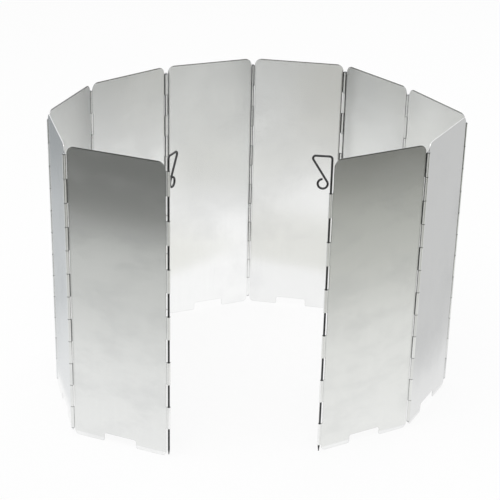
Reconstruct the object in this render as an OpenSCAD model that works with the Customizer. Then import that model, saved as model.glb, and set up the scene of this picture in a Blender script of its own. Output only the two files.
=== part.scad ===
// Folding stove windscreen: ten sheet plates hinged on wire pins, and a wire stake at each free edge.
// The plates stand as a ring on z = 0, open towards -y, and +z is up.

/* [Plates] */
// Width of a plate, from hinge axis to hinge axis
panel_w = 84; // [60:1:120]
// Height of a plate
panel_h = 240; // [180:1:300]
// Thickness of the sheet
sheet_t = 0.5; // [0.4:0.05:0.8]
// Radius of the top corners
top_corner_r = 6; // [2:0.5:10]
// Radius of the foot corners
foot_corner_r = 4; // [1:0.5:5]
// Width of the notch in the foot
notch_w = 28; // [16:1:40]
// Height of the notch in the foot
notch_h = 7; // [5:0.5:14]
// Radius of the notch's upper corners
notch_r = 2; // [0.5:0.25:4]
// Radius where the notch meets the foot
notch_lip_r = 1.5; // [0.5:0.25:2]

/* [Hinges] */
// Diameter of the wire of the pins and the stakes
wire_d = 1.6; // [1.2:0.1:2]
// Radial clearance between the wire and a knuckle
running_clearance = 0.08; // [0.03:0.01:0.1]
// Number of knuckles along a hinge, shared by its two plates
knuckle_count = 12; // [6:2:16]
// Bare edge above the highest knuckle
top_margin = 6.5; // [3:0.5:20]
// Bare edge below the lowest knuckle
foot_margin = 5.5; // [2:0.5:20]
// Gap between one knuckle and the next along a hinge
knuckle_gap = 0.3; // [0.2:0.05:1]
// Gap between a knuckle and the nearest corner of the edge that is cut back for it
edge_gap = 0.6; // [0.2:0.05:0.8]
// Half the gap between two plates that are folded together
fold_gap = 0.2; // [0.15:0.05:0.8]
// Gap between the end of a roll and its sheet
seam_gap = 0.15; // [0.1:0.05:0.4]
// Diameter of a pin's peened head
head_d = 2.4; // [2.2:0.1:2.6]
// Height of a pin's peened head
head_h = 0.8; // [0.5:0.1:1.5]
// Diameter of the flat crown of a peened head
crown_d = 1.4; // [0.8:0.1:2]
// Gap between a peened head and its knuckle
head_gap = 0.2; // [0.1:0.05:0.4]

/* [Stance] */
// Heading of the first plate, from its free edge, in degrees from +x
lead_heading = 157.5; // [140:0.5:180]
// Turn from plate 1 to plate 2
turn_1 = 51; // [20:1:70]
// Turn from plate 2 to plate 3
turn_2 = 33; // [10:1:60]
// Turn from plate 3 to plate 4
turn_3 = 28; // [10:1:60]
// Turn from plate 4 to plate 5
turn_4 = 21; // [10:1:60]
// Turn from plate 5 to plate 6
turn_5 = 35; // [10:1:60]
// Turn from plate 6 to plate 7
turn_6 = 44; // [10:1:60]
// Turn from plate 7 to plate 8
turn_7 = 8; // [5:1:60]
// Turn from plate 8 to plate 9
turn_8 = 55; // [20:1:60]
// Turn from plate 9 to plate 10
turn_9 = 33; // [20:1:70]

/* [Stakes] */
// Height of a finger loop's bar above the plates
loop_rise = 2.5; // [2:0.5:30]
// Reach of a finger loop, from the stake's axis to its far corner
loop_w = 15.5; // [14:0.5:24]
// Drop from the bar to the middle of the curled end
curl_drop = 21; // [17:0.5:32]
// Radius of the curled end, at the wire's centre
curl_r = 3.6; // [2.8:0.1:4]
// Radius of the loop's bends, at the wire's centre
bend_r = 2; // [1.4:0.1:2.6]
// Clearance between the curled end and the knuckles that it slides past
curl_clearance = 0.4; // [0.3:0.05:2]
// Gap between the end of the curl and the loop's slanted side
curl_end_gap = 0.2; // [0.2:0.05:0.6]
// Length of a stake's point
point_h = 4; // [2:0.5:10]
// Diameter of a stake's blunt tip
tip_d = 0.6; // [0.3:0.1:1]
// How far the left stake is drawn up
left_stake_lift = 1.75; // [0:0.25:30]
// Swing of the left loop towards the inside, from the line of its plate
left_loop_swing = 90; // [0:1:100]
// Swing of the right loop towards the inside, from the line of its plate
right_loop_swing = 36; // [0:1:90]

/* [Hidden] */
$fn = 48;
turns = [turn_1, turn_2, turn_3, turn_4, turn_5, turn_6, turn_7, turn_8, turn_9];
plate_count = len(turns) + 1;
function two_digits(i) = str(i < 10 ? "0" : "", i);
PANEL_NAMES = [for (i = [1:plate_count]) str("panel_", two_digits(i))];
PIN_NAMES = [for (i = [1:plate_count - 1]) str("hinge_pin_", i)];

wire_r = wire_d / 2;
bore_r = wire_r + running_clearance;
barrel_r = bore_r + sheet_t;
// Distance from a hinge axis to the middle of the sheet
axis_offset = sheet_t / 2 + fold_gap;
// Where an edge is cut back beside the neighbour's knuckles, so that its corner swings clear of them
edge_back = sqrt(pow(barrel_r + edge_gap, 2) - pow(fold_gap, 2));
slot_h = (panel_h - top_margin - foot_margin) / knuckle_count;
knuckle_h = slot_h - knuckle_gap;
knuckle_top = panel_h - top_margin - knuckle_gap / 2;
knuckle_foot = foot_margin + knuckle_gap / 2;
corner_steps = 10;

// Knuckles sit inside the ring on even axes and outside on odd ones, so the plates fold like a map
function side(k) = k % 2 == 0 ? -1 : 1;
function total(list, n) = n == 0 ? 0 : list[n - 1] + total(list, n - 1);
function heading(i) = lead_heading - total(turns, i - 1);
function turned(p, a) = [p.x * cos(a) - p.y * sin(a), p.x * sin(a) + p.y * cos(a)];
function raw_axis(k) =
    k == 0 ? [0, 0] : raw_axis(k - 1) + turned([panel_w, 2 * side(k) * axis_offset], heading(k));

// The ring's outline in plan, which puts the origin in the middle of its footprint
sheet_corners = [
    for (i = [1:plate_count], x = [edge_back, panel_w - edge_back], y = [-sheet_t / 2, sheet_t / 2])
        raw_axis(i - 1) + turned([x, y - side(i - 1) * axis_offset], heading(i))
];
barrel_rims = [
    for (k = [0:plate_count], d = [[1, 0], [-1, 0], [0, 1], [0, -1]]) raw_axis(k) + d * barrel_r
];
outline = concat(sheet_corners, barrel_rims);
xs = [for (p = outline) p.x];
ys = [for (p = outline) p.y];
middle = [(min(xs) + max(xs)) / 2, (min(ys) + max(ys)) / 2];
function axis_at(k) = raw_axis(k) - middle;

// At a hinge the even plate owns the odd knuckles, counted from the top, and the odd plate the even ones;
// at a free edge it is the other way round
function is_free(k) = k == 0 || k == plate_count;
function first_slot(i, k) = (i % 2 == 1) == is_free(k) ? 1 : 2;
function own_slots(i, k) = [for (s = [first_slot(i, k):2:knuckle_count]) s];
function slot_top(s) = knuckle_top - (s - 1) * slot_h;
function slot_foot(s) = slot_top(s) - knuckle_h;

function arc(centre, r, from, to) = [
    for (n = [0:corner_steps]) let (a = from + (to - from) * n / corner_steps) centre + r * [cos(a), sin(a)]
];

// Outline of the flat sheet of plate i, with a tab for each roll
module blank_outline(i) {
    left = edge_back;
    right = panel_w - edge_back;
    notch_left = (panel_w - notch_w) / 2;
    notch_right = panel_w - notch_left;
    left_slots = own_slots(i, i - 1);
    right_slots = own_slots(i, i);
    foot_left = arc([left + foot_corner_r, foot_corner_r], foot_corner_r, 180, 270);
    notch = concat(
        arc([notch_left - notch_lip_r, notch_lip_r], notch_lip_r, 270, 360),
        arc([notch_left + notch_r, notch_h - notch_r], notch_r, 180, 90),
        arc([notch_right - notch_r, notch_h - notch_r], notch_r, 90, 0),
        arc([notch_right + notch_lip_r, notch_lip_r], notch_lip_r, 180, 270)
    );
    foot_right = arc([right - foot_corner_r, foot_corner_r], foot_corner_r, 270, 360);
    right_tabs = [
        for (n = [len(right_slots) - 1:-1:0], corner = [0:3]) let (s = right_slots[n])
            [corner % 3 == 0 ? right : panel_w, corner < 2 ? slot_foot(s) : slot_top(s)]
    ];
    top_right = arc([right - top_corner_r, panel_h - top_corner_r], top_corner_r, 0, 90);
    top_left = arc([left + top_corner_r, panel_h - top_corner_r], top_corner_r, 90, 180);
    left_tabs = [
        for (s = left_slots, corner = [0:3])
            [corner % 3 == 0 ? left : 0, corner < 2 ? slot_top(s) : slot_foot(s)]
    ];
    polygon(concat(foot_left, notch, foot_right, right_tabs, top_right, top_left, left_tabs));
}

// A plate lies along +x with its sheet on y = 0 and its outer face towards +y
module plate(i) {
    edges = [[0, side(i - 1), 1, own_slots(i, i - 1)], [panel_w, side(i), -1, own_slots(i, i)]];
    difference() {
        union() {
            rotate([90, 0, 0]) linear_extrude(sheet_t, center = true) blank_outline(i);
            for (edge = edges, s = edge[3])
                translate([edge[0], edge[1] * axis_offset, slot_foot(s)])
                    cylinder(r = barrel_r, h = knuckle_h);
        }
        for (edge = edges) {
            translate([edge[0], edge[1] * axis_offset, 0]) cylinder(r = bore_r, h = panel_h);
            translate([edge[0] + edge[2] * edge_back / 2, edge[1] * (sheet_t + seam_gap) / 2, panel_h / 2])
                cube([edge_back, seam_gap, panel_h], center = true);
        }
    }
}

module panel(i) {
    start = axis_at(i - 1);
    color("#c9ccce")
        translate([start.x, start.y, 0])
            rotate([0, 0, heading(i)])
                translate([0, -side(i - 1) * axis_offset, 0]) plate(i);
}

// A wire pin with a peened head above the top knuckle and below the lowest one
module hinge_pin(k) {
    foot = knuckle_foot - head_gap;
    top = knuckle_top + head_gap;
    place = axis_at(k);
    color("#75797c")
        translate([place.x, place.y, 0])
            union() {
                translate([0, 0, foot]) cylinder(d = wire_d, h = top - foot);
                translate([0, 0, top]) peened_head();
                translate([0, 0, foot]) mirror([0, 0, 1]) peened_head();
            }
}

module peened_head() {
    rim_h = head_h / 2;
    cylinder(d = head_d, h = rim_h);
    translate([0, 0, rim_h]) cylinder(d1 = head_d, d2 = crown_d, h = head_h - rim_h);
}

// Shape of a stake in its own plane: x away from the shaft, y up
bar_z = panel_h + loop_rise;
curl_x = barrel_r + curl_clearance + wire_r + curl_r;
curl_z = bar_z - curl_drop;
corner_from_curl = [loop_w - curl_x, curl_drop];
// Lean of the loop's slanted side, which leaves the far corner and runs on into the curl
slant = atan2(corner_from_curl.x, corner_from_curl.y) + asin(curl_r / norm(corner_from_curl));
corner_turn = 90 + slant;
corner_run = bend_r * tan(corner_turn / 2);
slant_top = [loop_w - corner_run * sin(slant), bar_z - corner_run * cos(slant)];
slant_foot = [curl_x - curl_r * cos(slant), curl_z + curl_r * sin(slant)];
curl_open = acos(1 - (wire_d + curl_end_gap) / curl_r);
// The wire swells a hair where it is bent
bend_swell = 0.03;
bend_overlap = 0.08;

// A straight run, which reaches a little way into the bends at its ends
module wire_run(from, to) {
    along = to - from;
    translate([from.x, from.y, 0])
        rotate([0, 0, atan2(along.y, along.x)])
            rotate([0, 90, 0])
                translate([0, 0, -bend_overlap]) cylinder(d = wire_d, h = norm(along) + 2 * bend_overlap);
}

module wire_bend(centre, r, from, sweep) {
    translate([centre.x, centre.y, 0])
        rotate([0, 0, from])
            rotate_extrude(angle = sweep) translate([r, 0]) circle(d = wire_d + bend_swell);
}

module stake() {
    rotate([90, 0, 0])
        union() {
            translate([0, point_h, 0]) rotate([90, 0, 0]) cylinder(d1 = wire_d, d2 = tip_d, h = point_h);
            wire_run([0, point_h + bend_overlap], [0, bar_z - bend_r]);
            wire_bend([bend_r, bar_z - bend_r], bend_r, 90, 90);
            wire_run([bend_r, bar_z], [loop_w - corner_run, bar_z]);
            wire_bend([loop_w - corner_run, bar_z - bend_r], bend_r, -slant, corner_turn);
            wire_run(slant_foot, slant_top);
            wire_bend([curl_x, curl_z], curl_r, 180 - slant, 360 - curl_open);
        }
}

module left_stake() {
    place = axis_at(0);
    color("#5d6062")
        translate([place.x, place.y, left_stake_lift])
            rotate([0, 0, heading(1) + 180 + left_loop_swing]) stake();
}

module right_stake() {
    place = axis_at(plate_count);
    color("#5d6062")
        translate([place.x, place.y, 0])
            rotate([0, 0, heading(plate_count) - right_loop_swing]) stake();
}

for (i = [1:plate_count]) panel(i);
for (k = [1:plate_count - 1]) hinge_pin(k);
left_stake();
right_stake();
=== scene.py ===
import math

import bpy
from mathutils import Matrix, Vector

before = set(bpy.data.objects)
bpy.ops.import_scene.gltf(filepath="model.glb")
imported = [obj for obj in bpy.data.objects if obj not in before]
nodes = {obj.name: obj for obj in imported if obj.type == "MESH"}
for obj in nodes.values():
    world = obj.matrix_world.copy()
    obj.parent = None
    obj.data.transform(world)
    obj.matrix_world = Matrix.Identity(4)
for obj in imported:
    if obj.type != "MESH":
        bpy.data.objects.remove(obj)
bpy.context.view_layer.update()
scene = bpy.context.scene
scene.view_settings.view_transform = "Standard"
print("frame loaded:", len(nodes), "nodes")

# Camera

cameraSet = {
    "place": (-0.00447, -1.04198, 0.55518),
    "tilt": 22.97,   # degrees below the horizon
    "roll": 1.363,   # the picture leans a little
    "lens": 97.26,
    "sensor": 36.0,
}


def makeCamera(s):
    data = bpy.data.cameras.new("photoCamera")
    data.lens = s["lens"]
    data.sensor_width = s["sensor"]
    camera = bpy.data.objects.new("photoCamera", data)
    scene.collection.objects.link(camera)
    tilted = Matrix.Rotation(math.radians(90 - s["tilt"]), 4, "X")
    rolled = Matrix.Rotation(math.radians(s["roll"]), 4, "Z")
    camera.matrix_world = Matrix.Translation(s["place"]) @ tilted @ rolled
    scene.camera = camera


makeCamera(cameraSet)
print("camera placed")

# Small helpers for node trees


def newMaterial(name):
    material = bpy.data.materials.new(name)
    material.use_nodes = True
    material.node_tree.nodes.clear()
    return material, material.node_tree


def addNode(tree, kind, at=(0, 0), **settings):
    node = tree.nodes.new(kind)
    node.location = at
    for key, value in settings.items():
        setattr(node, key, value)
    return node


# A socket is linked to another node's output, or set to a plain value, or left as it is
def feed(tree, socket, value):
    if hasattr(value, "is_output"):
        tree.links.new(value, socket)
    elif value is not None:
        socket.default_value = value


def mathNode(tree, operation, first, second=None, at=(0, 0)):
    node = addNode(tree, "ShaderNodeMath", at, operation=operation)
    feed(tree, node.inputs[0], first)
    feed(tree, node.inputs[1], second)
    return node.outputs[0]


def vectorNode(tree, operation, first, second, at=(0, 0)):
    node = addNode(tree, "ShaderNodeVectorMath", at, operation=operation)
    feed(tree, node.inputs[0], first)
    feed(tree, node.inputs[1], second)
    return node.outputs["Value" if operation == "DOT_PRODUCT" else "Vector"]


def partOf(tree, vector, axis, at=(0, 0)):
    node = addNode(tree, "ShaderNodeSeparateXYZ", at)
    feed(tree, node.inputs[0], vector)
    return node.outputs[axis]


# A smooth step from 0 to 1 over the span, or from 1 to 0
def ramp(tree, value, span, at=(0, 0), falling=False):
    node = addNode(tree, "ShaderNodeMapRange", at, interpolation_type="SMOOTHSTEP")
    ends = (1.0, 0.0) if falling else (0.0, 1.0)
    labels = ("From Min", "From Max", "To Min", "To Max")
    for label, limit in zip(labels, (*span, *ends)):
        node.inputs[label].default_value = limit
    feed(tree, node.inputs["Value"], value)
    return node.outputs["Result"]


def noiseNode(tree, place, scale, detail, roughness=0.5, at=(0, 0)):
    node = addNode(tree, "ShaderNodeTexNoise", at)
    feed(tree, node.inputs["Vector"], place)
    feed(tree, node.inputs["Scale"], scale)
    feed(tree, node.inputs["Detail"], detail)
    feed(tree, node.inputs["Roughness"], roughness)
    return node.outputs["Fac"]


def colourSocket(sockets, label):
    return next(socket for socket in sockets if socket.name == label and socket.type == "RGBA")


def mixColour(tree, factor, first, second, at=(0, 0)):
    node = addNode(tree, "ShaderNodeMix", at, data_type="RGBA")
    feed(tree, node.inputs["Factor"], factor)
    for label, colour in (("A", first), ("B", second)):
        if not hasattr(colour, "is_output"):
            colour = (*colour, 1)
        feed(tree, colourSocket(node.inputs, label), colour)
    return colourSocket(node.outputs, "Result")


def blendShaders(tree, share, first, second):
    node = addNode(tree, "ShaderNodeMixShader")
    feed(tree, node.inputs[0], share)
    feed(tree, node.inputs[1], first.outputs[0])
    feed(tree, node.inputs[2], second.outputs[0])
    return node


def showShader(tree, shader, kind="ShaderNodeOutputMaterial"):
    out = addNode(tree, kind, (200, 0))
    feed(tree, out.inputs["Surface"], shader.outputs[0])


def newGroup(name, inputs, output):
    group = bpy.data.node_groups.new(name, "ShaderNodeTree")
    for kind, label, value in inputs:
        socket = group.interface.new_socket(label, in_out="INPUT", socket_type=kind)
        if value is not None:
            socket.default_value = value
    group.interface.new_socket(output, in_out="OUTPUT", socket_type="NodeSocketFloat")
    given = addNode(group, "NodeGroupInput", (-1100, 0)).outputs
    out = addNode(group, "NodeGroupOutput", (300, 0)).inputs
    return group, given, out[output]


def placeGroup(tree, group, at=(0, 0), **values):
    node = addNode(tree, "ShaderNodeGroup", at, node_tree=group)
    for label, value in values.items():
        feed(tree, node.inputs[label], value)
    return node.outputs[0]


# Stage: white floor and world, graded grey cards on the floor around and inside the ring, soft lamps

stageSet = {
    "floorSize": 12.0,
    "floorColour": (0.90, 0.90, 0.90),
    "floorGlow": 0.85,        # share of plain white in the floor, the rest takes shadow
    "worldLight": 0.80,
}
# Each card lies on the floor, and fades from its near edge outwards: (metres from that edge, tone)
cardSet = {
    "frontLeft": {
        "near": (-0.656, 0.102, 0.003), "aim": -112.5,
        "width": 1.3, "reach": 1.2, "tint": (1.0, 1.04, 0.97),
        "tones": (
            (0.0, 0.88), (0.11, 0.80), (0.24, 0.59),
            (0.345, 0.57), (0.415, 0.16), (0.60, 0.12),
        ),
    },
    "frontRight": {
        "near": (0.615, 0.187, 0.003), "aim": -60.5,
        "width": 1.3, "reach": 1.2, "tint": (1.01, 1.04, 0.91),
        "tones": (
            (0.0, 0.87), (0.17, 0.74), (0.28, 0.52),
            (0.42, 0.42), (0.50, 0.22), (0.70, 0.08),
        ),
    },
    "frontMiddle": {
        "near": (0.0, -0.20, 0.002), "aim": -90,
        "width": 0.9, "reach": 1.2, "tint": (1.03, 1.03, 0.92),
        "tones": ((0.0, 0.86), (0.12, 0.67), (0.20, 0.64), (0.32, 0.52), (0.50, 0.50)),
    },
    "leftSide": {
        "near": (-0.578, -0.238, 0.002), "aim": 105.9,
        "width": 0.90, "reach": 1.2, "tint": (0.87, 0.95, 1.0),
        "tones": (
            (0.0, 0.84), (0.12, 0.80), (0.20, 0.72), (0.25, 0.63),
            (0.36, 0.60), (0.52, 0.525), (0.70, 0.38), (0.95, 0.33),
        ),
    },
    "rightSide": {
        "near": (0.388, 0.436, 0.002), "aim": -27.5,
        "width": 1.3, "reach": 1.2, "tint": (0.99, 1.0, 1.0),
        "tones": ((0.0, 0.90), (0.03, 0.85), (0.05, 0.645), (0.25, 0.613)),
    },
    "inside": {
        "near": (-0.14, -0.02, 0.002), "aim": 0,
        "width": 0.14, "reach": 0.24, "tint": (1.06, 1.06, 0.84),
        "tones": ((0.0, 0.90), (0.04, 0.82), (0.18, 0.82), (0.24, 0.92)),
    },
}
lampSet = {
    "overhead": {"place": (-0.4, -0.5, 1.7), "size": 1.4, "watts": 9.0},
    "backFill": {"place": (0.7, 1.1, 1.3), "size": 0.9, "watts": 3.0},
}


def whiteRays(tree):
    path = addNode(tree, "ShaderNodeLightPath", (-900, 200)).outputs
    seen = mathNode(tree, "MAXIMUM", path["Is Camera Ray"], path["Is Glossy Ray"], (-700, 200))
    return mathNode(tree, "MAXIMUM", seen, path["Is Transmission Ray"], (-500, 200))


def makeWorld(s):
    world = bpy.data.worlds.new("whiteRoom")
    world.use_nodes = True
    tree = world.node_tree
    tree.nodes.clear()
    lit = addNode(tree, "ShaderNodeBackground", (-200, 0))
    lit.inputs["Strength"].default_value = s["worldLight"]
    shown = addNode(tree, "ShaderNodeBackground", (-200, -150))
    for node in (lit, shown):
        node.inputs["Color"].default_value = (1, 1, 1, 1)
    showShader(tree, blendShaders(tree, whiteRays(tree), lit, shown), "ShaderNodeOutputWorld")
    scene.world = world


def rectangle(name, low, high):
    mesh = bpy.data.meshes.new(name)
    corners = [(low[0], low[1], 0), (high[0], low[1], 0), (high[0], high[1], 0), (low[0], high[1], 0)]
    mesh.from_pydata(corners, [], [(0, 1, 2, 3)])
    piece = bpy.data.objects.new(name, mesh)
    scene.collection.objects.link(piece)
    return piece


def makeFloor(s):
    half = s["floorSize"] / 2
    floor = rectangle("floor", (-half, -half), (half, half))
    material, tree = newMaterial("paleFloor")
    matt = addNode(tree, "ShaderNodeBsdfDiffuse", (-200, 0))
    matt.inputs["Color"].default_value = (*s["floorColour"], 1)
    white = addNode(tree, "ShaderNodeEmission", (-200, -150))
    white.inputs["Strength"].default_value = 1.0
    share = mathNode(tree, "MULTIPLY", whiteRays(tree), s["floorGlow"], (-300, 200))
    showShader(tree, blendShaders(tree, share, matt, white))
    floor.data.materials.append(material)


def cardTone(name, s):
    material, tree = newMaterial(name + "Tone")
    place = addNode(tree, "ShaderNodeTexCoord", (-900, 0)).outputs["Object"]
    outward = partOf(tree, place, "X", (-700, 0))
    along = mathNode(tree, "DIVIDE", outward, s["reach"], (-500, 0))
    fade = addNode(tree, "ShaderNodeValToRGB", (-300, 0))
    stops = fade.color_ramp.elements
    while len(stops) < len(s["tones"]):
        stops.new(1.0)
    for stop, (distance, tone) in zip(stops, s["tones"]):
        stop.position = distance / s["reach"]
        # a pale tone takes little of the tint, a dark one most of it
        stop.color = (*[tone * (1 + (share - 1) * (1 - tone)) for share in s["tint"]], 1)
    feed(tree, fade.inputs[0], along)
    glow = addNode(tree, "ShaderNodeEmission", (0, 0))
    feed(tree, glow.inputs["Color"], fade.outputs[0])
    showShader(tree, glow)
    return material


def makeCards(cards):
    for name, s in cards.items():
        half = s["width"] / 2
        piece = rectangle(name + "Card", (0.0, -half), (s["reach"], half))
        piece.location = s["near"]
        piece.rotation_euler = (0, 0, math.radians(s["aim"]))
        piece.data.materials.append(cardTone(name, s))
        piece.visible_camera = False
        piece.visible_diffuse = False
        piece.visible_shadow = False


def makeLamps(lamps):
    for name, s in lamps.items():
        data = bpy.data.lights.new(name, "AREA")
        data.size = s["size"]
        data.energy = s["watts"]
        lamp = bpy.data.objects.new(name, data)
        scene.collection.objects.link(lamp)
        lamp.location = s["place"]
        lamp.rotation_euler = (-Vector(s["place"])).to_track_quat("-Z", "Y").to_euler()


makeWorld(stageSet)
makeFloor(stageSet)
makeCards(cardSet)
makeLamps(lampSet)
print("stage set")

# Shared effects: rolling grain, handling marks, a mask of the cut edges, where shade is painted, and
# slack in the sheet

grainSet = {"across": 900.0, "along": 14.0, "detail": 4.0, "span": (0.3, 0.7)}
markSet = {"size": 16.0, "detail": 5.0, "roughness": 0.6, "span": (0.42, 0.72)}
edgeSet = {"span": (0.35, 0.8)}     # how level a face is where the cut edge begins, and where it is full
slackSet = {"size": 11.0, "detail": 0.0}


def makeRolledGrain(s):
    group, given, out = newGroup(
        "rolledGrain",
        [
            ("NodeSocketVector", "Place", None),
            ("NodeSocketVector", "Shift", (0, 0, 0)),
            ("NodeSocketFloat", "Across", s["across"]),
            ("NodeSocketFloat", "Along", s["along"]),
        ],
        "Streak",
    )
    stretch = addNode(group, "ShaderNodeCombineXYZ", (-900, -200))
    for axis, label in (("X", "Across"), ("Y", "Across"), ("Z", "Along")):
        feed(group, stretch.inputs[axis], given[label])
    moved = vectorNode(group, "ADD", given["Place"], given["Shift"], (-900, 0))
    stretched = vectorNode(group, "MULTIPLY", moved, stretch.outputs[0], (-700, 0))
    noise = noiseNode(group, stretched, 1.0, s["detail"], at=(-500, 0))
    feed(group, out, ramp(group, noise, s["span"]))
    return group


def makeHandlingMarks(s):
    group, given, out = newGroup(
        "handlingMarks",
        [
            ("NodeSocketVector", "Place", None),
            ("NodeSocketVector", "Shift", (0, 0, 0)),
            ("NodeSocketVector", "Squeeze", (1, 1, 1)),
            ("NodeSocketFloat", "Size", s["size"]),
        ],
        "Smudge",
    )
    squeezed = vectorNode(group, "MULTIPLY", given["Place"], given["Squeeze"], (-900, 0))
    moved = vectorNode(group, "ADD", squeezed, given["Shift"], (-700, 0))
    cloud = noiseNode(group, moved, given["Size"], s["detail"], s["roughness"], (-500, 0))
    feed(group, out, ramp(group, cloud, s["span"]))
    return group


def makeCutEdge(s):
    group, given, out = newGroup("cutEdge", [("NodeSocketVector", "Facing", None)], "Edge")
    upward = partOf(group, given["Facing"], "Z", (-700, 0))
    level = mathNode(group, "ABSOLUTE", upward, at=(-500, 0))
    feed(group, out, ramp(group, level, s["span"]))
    return group


def makeSheetSlack(s):
    group, given, out = newGroup(
        "sheetSlack",
        [
            ("NodeSocketVector", "Place", None),
            ("NodeSocketVector", "Shift", (0, 0, 0)),
            ("NodeSocketFloat", "Size", s["size"]),
        ],
        "Height",
    )
    moved = vectorNode(group, "ADD", given["Place"], given["Shift"], (-700, 0))
    feed(group, out, noiseNode(group, moved, given["Size"], s["detail"], at=(-500, 0)))
    return group


rolledGrain = makeRolledGrain(grainSet)
handlingMarks = makeHandlingMarks(markSet)
cutEdge = makeCutEdge(edgeSet)
sheetSlack = makeSheetSlack(slackSet)
print("shared effects built")


def metalShader(tree, colour, rough):
    metal = addNode(tree, "ShaderNodeBsdfPrincipled", (-150, 0))
    metal.inputs["Metallic"].default_value = 1.0
    feed(tree, metal.inputs["Base Color"], colour)
    feed(tree, metal.inputs["Roughness"], rough)
    showShader(tree, metal)
    return metal


# Plates: satin aluminium sheet, numbered from the left free edge round to the right one

plateSet = {
    "colour": (0.920, 0.924, 0.920),
    "streakColour": (0.907, 0.911, 0.908),
    "smudgeColour": (0.845, 0.850, 0.850),
    "shade": {3: 1.08, 5: 1.06, 7: 1.07, 8: 1.055, 9: 0.93},   # plates painted paler or darker than the rest, as painted light for how brightly each one reflects
    "cutShift": (3.17, 1.71, 2.39),      # each plate is its own cut of the sheet
    "handled": (1, 10),                  # plates whose smudges are smaller and lie level
    "handledSize": 22.0,
    "handledSqueeze": (1.0, 1.0, 1.8),
    "roughness": 0.18,
    "smudgeRoughness": 0.05,
    "duller": {3: 0.14},                 # plates rougher than the rest
    "slackHeight": 0.0003,
    # stamped edges: painted shade on the cut edges and the rolled rims, and a painted highlight on some
    # upper edges
    "edgePaintedLight": (0.60, 0.605, 0.60),
    "brightTop": (2, 9),                 # plates whose upper edge is painted with a highlight
    "topHighlightColour": (0.95, 0.95, 0.95),
    "rimShadeColour": (0.26, 0.262, 0.258),
    "rimWidth": 0.00045,                 # the sheet is painted with a dark line of shade where the stamping rolled its edge over
    "rimTurn": (0.955, 0.9995),          # cosine of that roll, at the darkest painted shade and the plainest
    "rimSamples": 4,
    "topRim": (0.2390, 0.2396),          # heights between which the upper edge is painted with shade
    # crevices at the knuckles, painted with shade
    "creviceShadeColour": (0.035, 0.035, 0.034),
    "creviceReach": 0.0025,
    "creviceOpen": (0.66, 0.97),         # share of sky that a spot sees, at the darkest painted shade and the plainest
    "creviceSamples": 12,
    "softLines": {1: 0.55, 2: 0.55, 7: 0.45},   # plates whose painted crevice shade stays paler than the rest
    "deepLines": {5: 3.0, 6: 3.0},       # plates whose painted crevice and rim shade is darker than the rest
    "deepOpen": (0.82, 0.985),           # what creviceOpen is for those
    # the white floor lights crevices and rims from below, and its light fades between these heights
    "plainFoot": {"front": (0.01, 0.16), "back": (0.01, 0.11)},
    "frontPlates": (1, 2, 9, 10),
    "plainRim": 0.6,                     # how far that light clears the painted rim shade
}


def sheetColour(tree, number, s, grain, marks, edge):
    # painted light: some plates are painted paler or darker for how brightly they reflect
    shade = s["shade"].get(number, 1.0)
    plain, streaked, dulled = (
        [tone * shade for tone in s[key]] for key in ("colour", "streakColour", "smudgeColour")
    )
    rolled = mixColour(tree, grain, plain, streaked, (-850, 200))
    smudged = mixColour(tree, marks, rolled, dulled, (-700, 200))
    # the cut edges are painted with shade, and on the plates in brightTop with a highlight
    edgePaintedLight = s["topHighlightColour" if number in s["brightTop"] else "edgePaintedLight"]
    return mixColour(tree, edge, smudged, edgePaintedLight, (-500, 200))


# 1 on flat sheet, 0 where its edge is rolled over and painted with shade
def flatMask(tree, number, s, facing, height, low):
    bevel = addNode(tree, "ShaderNodeBevel", (-1100, 800), samples=s["rimSamples"])
    bevel.inputs["Radius"].default_value = s["rimWidth"]
    turn = vectorNode(tree, "DOT_PRODUCT", bevel.outputs[0], facing, (-900, 800))
    flat = ramp(tree, turn, s["rimTurn"], (-700, 800))
    flat = mathNode(tree, "POWER", flat, s["deepLines"].get(number, 1.0), (-600, 800))
    cleared = mathNode(tree, "MULTIPLY", low, s["plainRim"], (-600, 700))
    flat = mathNode(tree, "MAXIMUM", flat, cleared, (-500, 800))
    under = ramp(tree, height, s["topRim"], (-700, 1000), falling=True)
    if number in s["brightTop"]:
        above = mathNode(tree, "SUBTRACT", 1.0, under, (-500, 1000))
        return mathNode(tree, "MAXIMUM", flat, above, (-400, 800))
    return mathNode(tree, "MINIMUM", flat, under, (-400, 800))


# 1 on open sheet, 0 deep between the knuckles, where the sheet is painted with shade
def openMask(tree, number, s, low):
    tucked = addNode(tree, "ShaderNodeAmbientOcclusion", (-700, 500), samples=s["creviceSamples"])
    tucked.inputs["Distance"].default_value = s["creviceReach"]
    span = s["deepOpen" if number in s["deepLines"] else "creviceOpen"]
    openness = ramp(tree, tucked.outputs["AO"], span, (-500, 500))
    openness = mathNode(tree, "POWER", openness, s["deepLines"].get(number, 1.0), (-450, 600))
    openness = mathNode(tree, "MAXIMUM", openness, low, (-400, 600))
    return mathNode(tree, "MAXIMUM", openness, s["softLines"].get(number, 0.0), (-350, 600))


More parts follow.
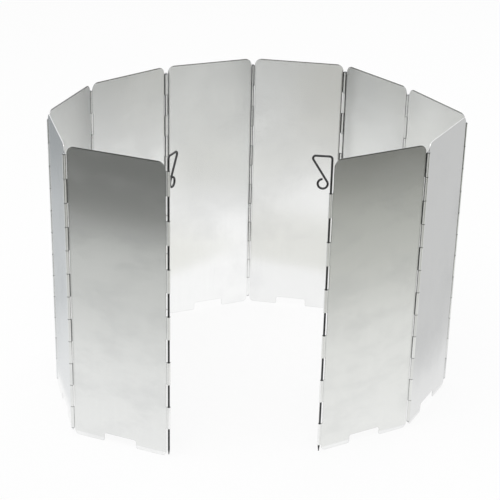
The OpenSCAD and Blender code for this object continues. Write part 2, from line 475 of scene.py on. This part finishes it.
def plateAluminium(number, s):
    material, tree = newMaterial(f"plateAluminium{number:02d}")
    place = addNode(tree, "ShaderNodeTexCoord", (-1400, 0)).outputs["Object"]
    facing = addNode(tree, "ShaderNodeNewGeometry", (-1400, -400)).outputs["Normal"]
    height = partOf(tree, place, "Z", (-1100, 500))
    shift = [number * step for step in s["cutShift"]]
    handling = {}
    if number in s["handled"]:
        handling = {"Size": s["handledSize"], "Squeeze": s["handledSqueeze"]}
    grain = placeGroup(tree, rolledGrain, (-1100, 200), Place=place, Shift=shift)
    marks = placeGroup(tree, handlingMarks, (-1100, 0), Place=place, Shift=shift, **handling)
    slack = placeGroup(tree, sheetSlack, (-1100, -200), Place=place, Shift=shift)
    edge = placeGroup(tree, cutEdge, (-1100, -400), Facing=facing)
    stands = "front" if number in s["frontPlates"] else "back"
    low = ramp(tree, height, s["plainFoot"][stands], (-700, 700), falling=True)
    colour = sheetColour(tree, number, s, grain, marks, edge)
    flat = flatMask(tree, number, s, facing, height, low)
    # painted shade along the rolled rims and the upper edge
    colour = mixColour(tree, flat, s["rimShadeColour"], colour, (-400, 400))
    openness = openMask(tree, number, s, low)
    # painted shade in the crevices between the knuckles
    colour = mixColour(tree, openness, s["creviceShadeColour"], colour, (-300, 300))
    rough = mathNode(tree, "MULTIPLY", marks, s["smudgeRoughness"], (-700, 0))
    rough = mathNode(tree, "ADD", rough, s["roughness"] + s["duller"].get(number, 0.0), (-350, 0))
    waves = addNode(tree, "ShaderNodeBump", (-600, -300))
    waves.inputs["Distance"].default_value = s["slackHeight"]
    feed(tree, waves.inputs["Height"], slack)
    metal = metalShader(tree, colour, rough)
    feed(tree, metal.inputs["Normal"], waves.outputs[0])
    return material


def dressPlates(s):
    for number in range(1, 11):
        plate = nodes[f"panel_{number:02d}"]
        plate.data.materials[0] = plateAluminium(number, s)


dressPlates(plateSet)
print("plates dressed")

# Pins and stakes: drawn steel wire

pinSet = {
    "colour": (0.42, 0.43, 0.44),
    "dullColour": (0.28, 0.285, 0.29),
    "smudgeSize": 180.0,
    "grainAcross": 2600.0,
    "grainAlong": 90.0,
    "roughness": 0.32,
    "drawnRoughness": 0.12,
}
# the stake wire is painted near black, a painted reflection of dark surroundings
stakeSet = {
    "colour": (0.075, 0.076, 0.078),
    "dullColour": (0.04, 0.04, 0.041),
    "smudgeSize": 180.0,
    "grainAcross": 2600.0,
    "grainAlong": 90.0,
    "roughness": 0.24,
    "drawnRoughness": 0.12,
}


def drawnSteel(name, s):
    material, tree = newMaterial(name)
    place = addNode(tree, "ShaderNodeTexCoord", (-1200, 0)).outputs["Object"]
    marks = placeGroup(tree, handlingMarks, (-900, 100), Place=place, Size=s["smudgeSize"])
    grain = placeGroup(
        tree, rolledGrain, (-900, -150), Place=place, Across=s["grainAcross"], Along=s["grainAlong"]
    )
    colour = mixColour(tree, marks, s["colour"], s["dullColour"], (-500, 200))
    rough = mathNode(tree, "MULTIPLY", grain, s["drawnRoughness"], (-500, 0))
    rough = mathNode(tree, "ADD", rough, s["roughness"], (-350, 0))
    metalShader(tree, colour, rough)
    return material


def dressWires():
    pinSteel = drawnSteel("pinSteel", pinSet)
    stakeSteel = drawnSteel("stakeSteel", stakeSet)
    for number in range(1, 10):
        nodes[f"hinge_pin_{number}"].data.materials[0] = pinSteel
    for side in ("left", "right"):
        nodes[f"{side}_stake"].data.materials[0] = stakeSteel


dressWires()
print("pins and stakes dressed")
